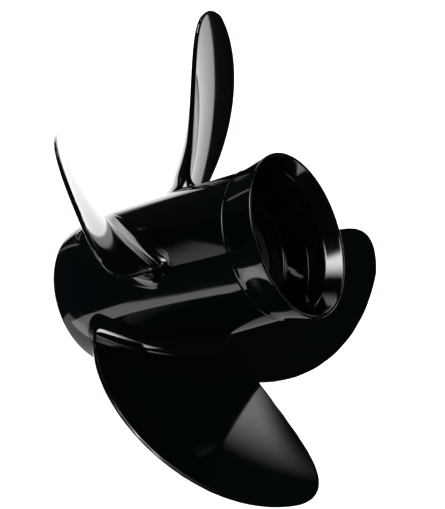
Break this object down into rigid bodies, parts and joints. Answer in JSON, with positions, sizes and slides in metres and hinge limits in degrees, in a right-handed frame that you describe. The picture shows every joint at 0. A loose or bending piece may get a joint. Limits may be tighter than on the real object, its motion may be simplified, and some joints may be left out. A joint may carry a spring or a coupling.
{
  "type": "outboard propeller with through-hub exhaust",
  "caption": "Right-hand cast propeller: raked blades on a tapered barrel, a flared aft ring, a ribbed inner hub, a rubber bush and a splined sleeve.",
  "frame": {"origin": "centre of the front rim's rest face, on the shaft axis", "axes": "+Z along the shaft axis, pointing aft and up as it stands; +X at the middle of the first blade's reference line"},
  "size_m": [0.3354, 0.3354, 0.183],
  "materials": {
    "gloss_black_paint": "gloss black paint on cast aluminium",
    "black_rubber": "plain black rubber",
    "brass": "machined brass"
  },
  "bodies": {
    "root": {"barrel": "gloss_black_paint", "diffuser_ring": "gloss_black_paint", "inner_hub": "gloss_black_paint", "rib_1": "gloss_black_paint", "rib_2": "gloss_black_paint", "rib_3": "gloss_black_paint", "rib_4": "gloss_black_paint", "blade_1": "gloss_black_paint", "blade_2": "gloss_black_paint", "blade_3": "gloss_black_paint", "blade_4": "gloss_black_paint", "rubber_bush": "black_rubber", "spline_sleeve": "brass"}
  },
  "joints": []
}
